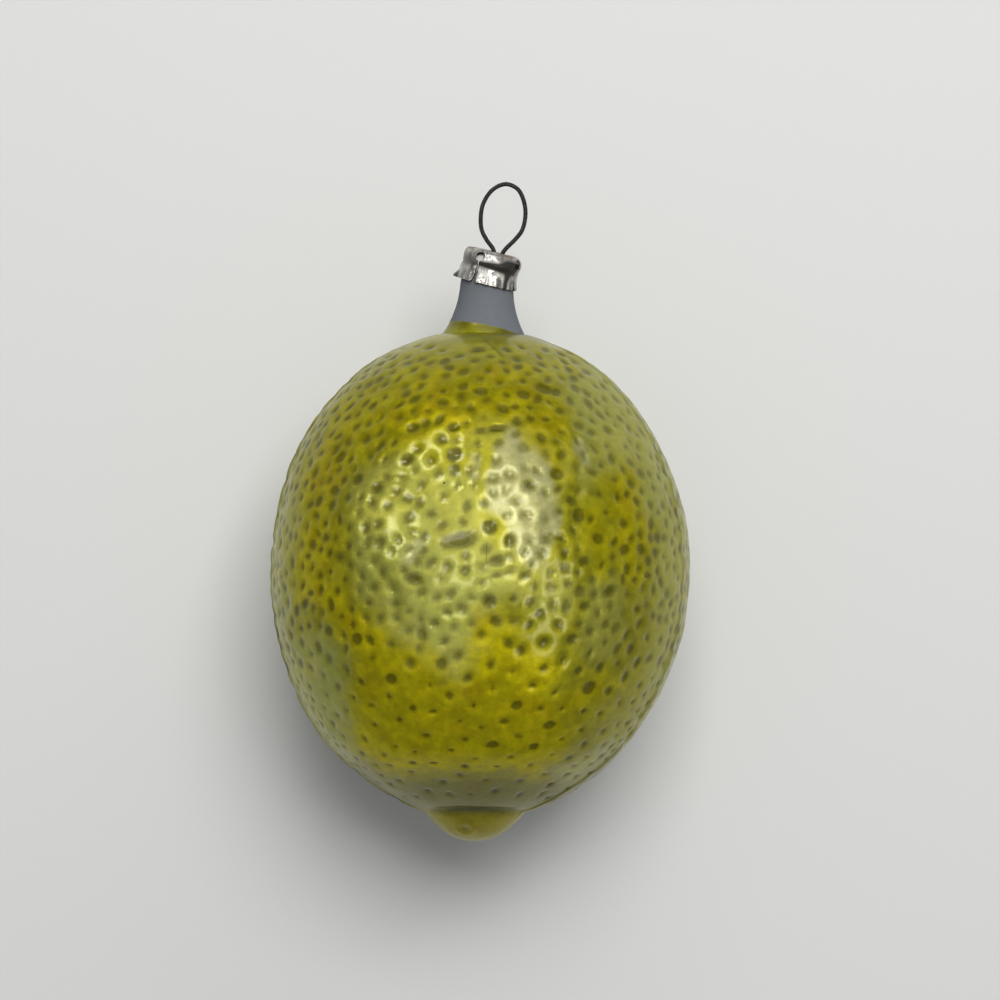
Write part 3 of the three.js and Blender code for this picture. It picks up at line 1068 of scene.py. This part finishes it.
# Lighter ochre for the blossom half: painted light.
OCHRE_END_PAINTED_LIGHT = colour(0.500, 0.430, 0.001)
OCHRE_END_DEEP_PAINTED_LIGHT = colour(0.390, 0.340, 0.001)
AMBER = colour(0.340, 0.250, 0.001)
SILVER = colour(0.325, 0.315, 0.158)
PIT_GREEN = colour(0.090, 0.083, 0.002)
PIT_OCHRE = colour(0.115, 0.099, 0.001)
PIT_END = colour(0.045, 0.040, 0.003)
PIT_GREY = colour(0.150, 0.146, 0.022)
# Painted shade for the band just below the dip line.
SHADE_BELOW_DIP_LINE = colour(0.105, 0.095, 0.004)
# Painted shade in the groove round the nub.
GROOVE_SHADE = colour(0.09, 0.095, 0.07)
RING_OLIVE = colour(0.08, 0.07, 0.01)
MOTTLE = colour(0.60, 0.64, 0.45)
SCRATCHED = colour(0.07, 0.06, 0.003)
SPECK = colour(0.02, 0.02, 0.015)
CHIPPED = colour(0.02, 0.015, 0.005)
BARE_GLASS = colour(0.146, 0.156, 0.174)
BARE_GLASS_DARK = colour(0.139, 0.149, 0.168)
# Painted light near the mouth, seen through the cap's keyholes.
MOUTH_PAINTED_LIGHT = colour(0.66, 0.66, 0.64)
print("lacquer from", PIT_END[:3], "in the darkest pits to", OCHRE_END_PAINTED_LIGHT[:3], "on the ochre")

# %% [markdown]
# The layers. Noises of four sizes vary the colours, and each layer is laid over the one before
# with a mask from the stored depths. The shared edge group gives each mask its own wander and
# softness: ochre was dabbed on with soft edges, and the dip line is crisp.

# %% Layers of lacquer
material, tree, where = start_material("lacquered_glass")
broad = noise(tree, where, 90.0, 3.0, 0.5)
middling = noise(tree, where, 420.0, 4.0, 0.6)
fine = noise(tree, where, 1500.0, 3.0, 0.6)
amber_spots = noise(tree, where, 240.0, 3.0, 0.6)

along_fruit = add_node(tree, "ShaderNodeSeparateXYZ", None, Vector=where).outputs["Y"]
# Towards the blossom end the ochre is painted lighter, as painted light for the half that the lamps
# light less.
blossom_painted_light = ramp(tree, along_fruit, 0.016, -0.004)
ground = mix_colour(tree, ramp(tree, middling, 0.35, 0.68), GROUND_DARK, GROUND)
ground = mix_colour(tree, ramp(tree, along_fruit, -0.018, -0.030), ground, GROUND_END)
ground = mix_colour(tree, ramp(tree, along_fruit, -0.0308, -0.0325), ground, NUB)
pale_shade = mix_colour(tree, ramp(tree, broad, 0.42, 0.60), PALE, PALE_GREEN)
ochre_deep = mix_colour(tree, blossom_painted_light, OCHRE_TOP_DEEP, OCHRE_END_DEEP_PAINTED_LIGHT)
ochre_full = mix_colour(tree, blossom_painted_light, OCHRE_TOP, OCHRE_END_PAINTED_LIGHT)
ochre_shade = mix_colour(tree, ramp(tree, middling, 0.38, 0.62), ochre_deep, ochre_full)
ochre_shade = paint(tree, ochre_shade, AMBER, ramp(tree, amber_spots, 0.50, 0.66), 0.55)

pale_mask = use_group(tree, edge_group, Where=where, Depth=attribute(tree, "pale"),
                      Wander=3.2, Scale=330.0, Softness=2.6)["Mask"]
ochre_mask = use_group(tree, edge_group, Where=where, Depth=attribute(tree, "ochre"),
                       Wander=5.0, Scale=400.0, Softness=4.0)["Mask"]
worn_mask = use_group(tree, edge_group, Where=where, Depth=attribute(tree, "worn"),
                      Wander=2.6, Scale=380.0, Softness=1.5)["Mask"]
lacquer_mask = use_group(tree, edge_group, Where=where, Depth=attribute(tree, "dipped"),
                         Wander=0.25, Scale=300.0, Softness=0.16)["Mask"]

skin_colour = paint(tree, ground, pale_shade, pale_mask, 0.68)
skin_colour = paint(tree, skin_colour, ochre_shade, ochre_mask, 0.92)
skin_colour = paint(tree, skin_colour, SILVER, worn_mask, 0.72)
print("layers of lacquer:", len(tree.nodes), "nodes so far")

# %% [markdown]
# Pigment in the dimples. The stored bell curve is near 1 in a dimple's middle, and noise is
# added to it before the ramp, so some dimples hold more colour than others. On pale and worn
# places the pigment is thin and grey, apart from the large dimples, which are filled past 1.
# A fine mottle then darkens the whole lacquer a little, as on any hand-wiped colour. Just below
# the line where the lacquer stops, a dark band is painted shade where the shoulder turns away
# under the neck, the groove is darkened as painted shade, and pigment has run into the small ring.

# %% Pigment, mottle and lines
pigment_depth = unsettle(tree, attribute(tree, "pigment"), middling, 0.55)
pigment_depth = unsettle(tree, pigment_depth, fine, 0.35)
in_pit = ramp(tree, pigment_depth, 0.04, 0.70)
faded = math_node(tree, "MAXIMUM", times(tree, pale_mask, 0.6), worn_mask)
not_large = ramp(tree, attribute(tree, "pigment"), 1.0, 0.8)
faded = times(tree, faded, not_large)
pit_colour = mix_colour(tree, ochre_mask, PIT_GREEN, PIT_OCHRE)
pit_colour = mix_colour(tree, ramp(tree, along_fruit, -0.023, -0.028), pit_colour, PIT_END)
pit_colour = mix_colour(tree, faded, pit_colour, PIT_GREY)
pit_share = times(tree, in_pit, mix_value(tree, faded, 0.95, 0.82))
skin_colour = mix_colour(tree, pit_share, skin_colour, pit_colour)
mottle = noise(tree, where, 980.0, 4.0, 0.68)
skin_colour = paint(tree, skin_colour, MOTTLE, ramp(tree, mottle, 0.40, 0.62), 0.34, "MULTIPLY")

# A dark band just below the dip line, painted shade where the shoulder turns away under the neck.
shade_band_near_dip = ramp(tree, attribute(tree, "dipped"), 1.6, 0.2)
painted_shade_below_dip = times(tree, shade_band_near_dip, lacquer_mask)
skin_colour = paint(tree, skin_colour, SHADE_BELOW_DIP_LINE, painted_shade_below_dip, 0.75)
# The groove round the nub is darkened as painted shade.
skin_colour = paint(tree, skin_colour, GROOVE_SHADE, attribute(tree, "groove"), 0.62)
skin_colour = paint(tree, skin_colour, RING_OLIVE, attribute(tree, "ring"), 0.60)
print("with pigment:", len(tree.nodes), "nodes so far")

# %% [markdown]
# Age. Two dark scratches and three dark chips mark the top, and the grime group adds a few
# specks. A scratch is the set of points near a line, so two dot products give the distance
# from it and the way gone along it. A chip is a small ball round a point of the skin. Both
# could be painted on an image, but a formula stays sharp however near the camera comes.

# %% Scratches, specks and chips
# start and end in plan, then half width
SCRATCHES = [((0.2, 28.6), (2.8, 26.0), 0.13), ((0.9, 3.2), (0.85, 0.4), 0.07)]
# plan x, plan y and radius
CHIPS = [(-4.35, 10.3, 0.13), (5.4, -10.55, 0.12), (5.3, -13.8, 0.12)]
SCRATCH_FADE = 0.4
TOP_FADE = 2


def scratch(tree, start, end, half_width):
    """A thin straight mark on the upper side, between two plan positions in millimetres."""
    begin, finish = np.array(start) * MM, np.array(end) * MM
    length = float(np.linalg.norm(finish - begin))
    dx, dy = (finish - begin) / length
    sockets = {"s0": where, "s1": (-dy, dx, 0.0)}
    across = add_node(tree, "ShaderNodeVectorMath", {"operation": "DOT_PRODUCT"}, **sockets)
    sockets["s1"] = (dx, dy, 0.0)
    forward = add_node(tree, "ShaderNodeVectorMath", {"operation": "DOT_PRODUCT"}, **sockets)
    begin_across = float(-dy * begin[0] + dx * begin[1])
    begin_forward = float(dx * begin[0] + dy * begin[1])
    offset = math_node(tree, "SUBTRACT", across.outputs["Value"], begin_across)
    gone = math_node(tree, "SUBTRACT", forward.outputs["Value"], begin_forward)
    mark = ramp(tree, math_node(tree, "ABSOLUTE", offset), 1.6 * half_width * MM, 0.4 * half_width * MM)
    ends = times(tree, ramp(tree, gone, 0.0, SCRATCH_FADE * MM),
                 ramp(tree, gone, length, length - SCRATCH_FADE * MM))
    above = add_node(tree, "ShaderNodeSeparateXYZ", None, Vector=where).outputs["Z"]
    on_top = ramp(tree, above, AXIS_HEIGHT * MM, (AXIS_HEIGHT + TOP_FADE) * MM)
    return times(tree, times(tree, mark, ends), on_top)


for start, end, half_width in SCRATCHES:
    skin_colour = paint(tree, skin_colour, SCRATCHED, scratch(tree, start, end, half_width), 0.5)

grime = use_group(tree, grime_group, Where=where, Cloud_Scale=260.0, Speck_Scale=330.0,
                  Speck_Size=0.05)
skin_colour = paint(tree, skin_colour, SPECK, grime["Specks"], 0.85)
for x, y, size in CHIPS:
    chip_place = (skin_point(x, y) + [0.0, 0.0, AXIS_HEIGHT]) * MM
    away = add_node(tree, "ShaderNodeVectorMath", {"operation": "DISTANCE"}, s0=where, s1=chip_place)
    chip = ramp(tree, away.outputs["Value"], 1.3 * size * MM, 0.7 * size * MM)
    skin_colour = mix_colour(tree, chip, skin_colour, CHIPPED)
print("marks:", len(SCRATCHES), "scratches and", len(CHIPS), "chips")

# %% [markdown]
# The neck above the dip line has no lacquer. It is matte blue-grey glass. Near the mouth, which
# shows in the cap's keyholes, it is painted nearly white as painted light falling in there.
#
# Gloss. The lacquer is translucent over silvering, so the shader is partly metallic, less so
# in the pits, where the pigment is thick. A clear coat lies on top, thicker on the pale places
# and thin on the ochre, and reflects the lamps as smooth highlights. A faint grain in the bump
# keeps it from looking like new plastic, but the dimples themselves are real geometry.

# %% Lacquer shader
bare = mix_colour(tree, ramp(tree, fine, 0.3, 0.7), BARE_GLASS_DARK, BARE_GLASS)
# Near the mouth the glass is painted nearly white: painted light falling in through the keyholes.
mouth_painted_light_share = ramp(tree, attribute(tree, "dipped"), -6.2, -7.2)
bare = mix_colour(tree, mouth_painted_light_share, bare, MOUTH_PAINTED_LIGHT)
final_colour = mix_colour(tree, lacquer_mask, bare, skin_colour)

metal_share = mix_value(tree, worn_mask, 0.58, 0.60)
metal_share = times(tree, metal_share, mix_value(tree, in_pit, 1.0, 0.62))
metallic = times(tree, metal_share, lacquer_mask)
satin = mix_value(tree, ramp(tree, middling, 0.3, 0.7), 0.31, 0.43)
satin = mix_value(tree, lacquer_mask, 0.62, satin)
wet = mix_value(tree, ochre_mask, 0.72, 0.26)
wet = times(tree, wet, mix_value(tree, grime["Clouds"], 1.0, 0.75))
coat = times(tree, lacquer_mask, wet)

grain = math_node(tree, "ADD", times(tree, fine, 0.35), middling)
bump = add_node(tree, "ShaderNodeBump", None, Strength=0.35, Distance=0.00012, Height=grain)
shader = add_node(tree, "ShaderNodeBsdfPrincipled", None, Base_Color=final_colour,
                  Metallic=metallic, Roughness=satin, Coat_Weight=coat, Normal=bump.outputs[0])
shader.inputs["Specular IOR Level"].default_value = 0.05
shader.inputs["Coat Roughness"].default_value = 0.17
shader.inputs["Coat IOR"].default_value = 1.44
shader.inputs["Specular Tint"].default_value = colour(0.80, 0.78, 0.38)
finish_material(lime, material, tree, shader)

# %% [markdown]
# ### Tinned cap
#
# Tinplate is bright where it was rubbed and brown-grey where the tin has gone. The cut edges are
# darkened, the crease is painted dark as a painted reflection of the dark room, and rust lies on
# the top plate, so the stored height and edge distance steer them. The near-black patches stored
# with the panels are partly tarnish and partly painted dark reflections and painted shade. They
# are hardly metallic and dull, and streaks of the drawing break up their outline.

# %% Cap material
BRIGHT_TIN = colour(0.66, 0.64, 0.605)
GREY_TIN = colour(0.31, 0.297, 0.275)
CLOUDED_TIN = colour(0.17, 0.155, 0.13)
RUST = colour(0.15, 0.085, 0.05)
# Darker cut edges, and a painted dark reflection in the crease.
DARK_EDGE_AND_CREASE_REFLECTION = colour(0.11, 0.10, 0.085)
# Near black: tarnish, with painted dark reflections and painted shade.
TARNISH_AND_DARK_REFLECTION = colour(0.020, 0.018, 0.015)
TIN_SPECK = colour(0.06, 0.05, 0.04)

material, tree, where = start_material("tinned_sheet")
grime = use_group(tree, grime_group, Where=where, Cloud_Scale=520.0, Speck_Scale=2600.0,
                  Speck_Size=0.30)
up_cap = attribute(tree, "height")
to_edge = attribute(tree, "edge")
crease_band = math_node(tree, "ABSOLUTE", math_node(tree, "SUBTRACT", up_cap, CREASE_HEIGHT))
crease_reflection_share = ramp(tree, crease_band, 0.65, 0.0)
top_rust = ramp(tree, up_cap, 3.85, 4.15)
at_edge = ramp(tree, to_edge, 0.14, 0.02)
drawn = add_node(tree, "ShaderNodeMapping", None, Vector=where, Scale=(1.0, 0.22, 1.0))
streaks = noise(tree, drawn.outputs[0], 2400.0, 3.0, 0.6)

tin = mix_colour(tree, ramp(tree, streaks, 0.35, 0.65), GREY_TIN, BRIGHT_TIN)
tin = paint(tree, tin, CLOUDED_TIN, grime["Clouds"], 0.5)
rust_share = times(tree, top_rust, ramp(tree, grime["Clouds"], 0.1, 0.6))
tin = paint(tree, tin, RUST, rust_share, 0.7)
# The crease is painted dark as a painted reflection of the dark room, and the cut edges are darkened.
dark_edge_and_crease_reflection_share = math_node(tree, "MAXIMUM", times(tree, crease_reflection_share, 0.75), times(tree, at_edge, 0.6))
tin = mix_colour(tree, dark_edge_and_crease_reflection_share, tin, DARK_EDGE_AND_CREASE_REFLECTION)
# Tarnish, painted dark reflections under the crown and painted shade on the bent corner.
tarnish_and_dark_reflection = ramp(tree, unsettle(tree, attribute(tree, "tarnish_and_dark_reflection"), streaks, 0.6), 0.05, 0.65)
tin = paint(tree, tin, TARNISH_AND_DARK_REFLECTION, tarnish_and_dark_reflection, 0.96)
tin = paint(tree, tin, TIN_SPECK, grime["Specks"], 0.6)

dull = mix_value(tree, grime["Clouds"], 0.20, 0.38)
dull = math_node(tree, "ADD", dull, times(tree, rust_share, 0.25))
dull = math_node(tree, "ADD", dull, times(tree, tarnish_and_dark_reflection, 0.15))
metallic = mix_value(tree, rust_share, 1.0, 0.55)
metallic = times(tree, metallic, mix_value(tree, tarnish_and_dark_reflection, 1.0, 0.20))
bump = add_node(tree, "ShaderNodeBump", None, Strength=0.25, Distance=0.00005, Height=streaks)
shader = add_node(tree, "ShaderNodeBsdfPrincipled", None, Base_Color=tin, Metallic=metallic,
                  Roughness=dull, Normal=bump.outputs[0])
shader.inputs["Specular IOR Level"].default_value = 0.20
finish_material(cap, material, tree, shader)

# %% [markdown]
# ### Dark spring wire
#
# Spring wire is left with the dark oxide skin of its heat treatment. It is nearly black, with a
# soft sheen, a fine uneven grain and a few brown specks of rust. A plain black would look like
# plastic, so the oxide is mostly metallic and its roughness follows the clouds of grime.

# %% Wire material
material, tree, where = start_material("oxidised_wire")
grime = use_group(tree, grime_group, Where=where, Cloud_Scale=700.0, Speck_Scale=2400.0,
                  Speck_Size=0.34)
skin_noise = noise(tree, where, 3200.0, 3.0, 0.6)
oxide = mix_colour(tree, ramp(tree, skin_noise, 0.35, 0.7), colour(0.009, 0.0085, 0.008),
                   colour(0.030, 0.029, 0.028))
oxide = paint(tree, oxide, colour(0.10, 0.055, 0.03), grime["Specks"], 0.7)
dull = mix_value(tree, grime["Clouds"], 0.28, 0.42)
bump = add_node(tree, "ShaderNodeBump", None, Strength=0.3, Distance=0.00004, Height=skin_noise)
shader = add_node(tree, "ShaderNodeBsdfPrincipled", None, Base_Color=oxide, Roughness=dull,
                  Normal=bump.outputs[0])
shader.inputs["Metallic"].default_value = 0.75
finish_material(wire, material, tree, shader)

# %% [markdown]
# ## Floor, light and camera
#
# The ornament lies on a plain pale floor. The floor is a hair below the ornament's flat spot, so
# that the two faces never share one plane, which would flicker between them.

# %% Floor
FLOOR_HALF = 1.2
FLOOR_DROP = 0.00003
floor_corners = np.array([(-1, -1, 0), (1, -1, 0), (1, 1, 0), (-1, 1, 0)]) * FLOOR_HALF
floor_corners[:, 2] -= FLOOR_DROP
floor = make_mesh("floor", floor_corners, np.array([[0, 1, 2, 3]]))
floor_material, tree, where = start_material("pale_floor")
shader = add_node(tree, "ShaderNodeBsdfPrincipled", None, Base_Color=colour(0.68, 0.68, 0.67),
                  Roughness=0.85)
finish_material(floor, floor_material, tree, shader)

# %% [markdown]
# The studio. A glossy thing shows its lamps twice: as light on its colour, and as reflections
# in its skin. Here the two are lit apart, because Blender lets a lamp skip either. The key and
# window panels light the colour and cast the soft shadow towards the nub, and the key is kept
# out of reflections. The ceiling and overhead panels are only reflected, as the broad sheen
# on top. Seven small panels, reflected too, each give a glint on the ridges between dimples.
# The pale world fills the shadows.

# %% Lights
WARM = (1.0, 0.995, 0.975)
GLINT_WARM = (1.0, 0.99, 0.95)
NEUTRAL = (1.0, 1.0, 1.0)
GLINT_SIZE = 0.16
# place, then watts
GLINT_LIGHTS = [((-0.48, 0.15, 0.48), 0.80), ((-0.28, 0.50, 0.40), 0.90),
                ((0.38, -0.29, 0.52), 0.45), ((0.22, 0.13, 0.67), 0.70),
                ((0.46, -0.04, 0.54), 0.35), ((0.13, 0.34, 0.61), 0.75),
                ((-0.14, -0.02, 0.71), 0.45)]
middle = (0.0, 0.0, AXIS_HEIGHT * MM)


def add_panel(name, place, width, height, watts, tint, diffuse=True, glossy=True):
    """A flat lamp that faces the fruit. It can be kept off matte colour or out of reflections."""
    lamp = bpy.data.lights.new(name, "AREA")
    lamp.shape = "RECTANGLE"
    lamp.size, lamp.size_y = width, height
    lamp.energy = watts
    lamp.color = tint
    holder = bpy.data.objects.new(name, lamp)
    bpy.context.scene.collection.objects.link(holder)
    holder.location = place
    holder.visible_diffuse, holder.visible_glossy = diffuse, glossy
    aim = Vector(middle) - Vector(place)
    holder.rotation_euler = aim.to_track_quat("-Z", "Y").to_euler()
    print(name, "at", place, "with", watts, "W")


add_panel("ceiling_panel", (-0.12, 0.04, 0.78), 1.40, 0.84, 2.70, WARM, diffuse=False)
add_panel("overhead_panel", (0.02, 0.10, 0.75), 0.50, 0.40, 0.20, WARM, diffuse=False)
add_panel("key_panel", (0.08, 0.30, 0.70), 0.40, 0.36, 4.60, WARM, glossy=False)
add_panel("window_panel", (0.22, 0.70, 0.46), 0.90, 0.40, 1.40, NEUTRAL)
for number, (place, watts) in enumerate(GLINT_LIGHTS):
    add_panel(f"glint_{number}", place, GLINT_SIZE, GLINT_SIZE, watts, GLINT_WARM, diffuse=False)

world = bpy.data.worlds.new("studio")
bpy.context.scene.world = world
world.use_nodes = True
background = world.node_tree.nodes["Background"]
background.inputs["Color"].default_value = colour(0.93, 0.96, 1.0)
background.inputs["Strength"].default_value = 0.27

# %% [markdown]
# The camera looks straight down, from a little towards the cap. Its long lens keeps the
# perspective mild. The standard view transform keeps the lacquer's strong yellow as mixed.

# %% Camera
CAMERA_LENS = 104.0
CAMERA_X, CAMERA_Y, CAMERA_ABOVE_AXIS = 2.42, 8.32, 375.0
CAMERA_TURN = math.radians(0.75)

camera_data = bpy.data.cameras.new("camera")
camera_data.lens = CAMERA_LENS
camera_data.sensor_width = 36.0
camera_data.clip_start = 0.01
camera = bpy.data.objects.new("camera", camera_data)
bpy.context.scene.collection.objects.link(camera)
camera.location = Vector((CAMERA_X, CAMERA_Y, AXIS_HEIGHT + CAMERA_ABOVE_AXIS)) * MM
camera.rotation_euler = (0.0, 0.0, CAMERA_TURN)
bpy.context.scene.camera = camera
bpy.context.scene.view_settings.view_transform = "Standard"
print("camera at", [round(v, 4) for v in camera.location])
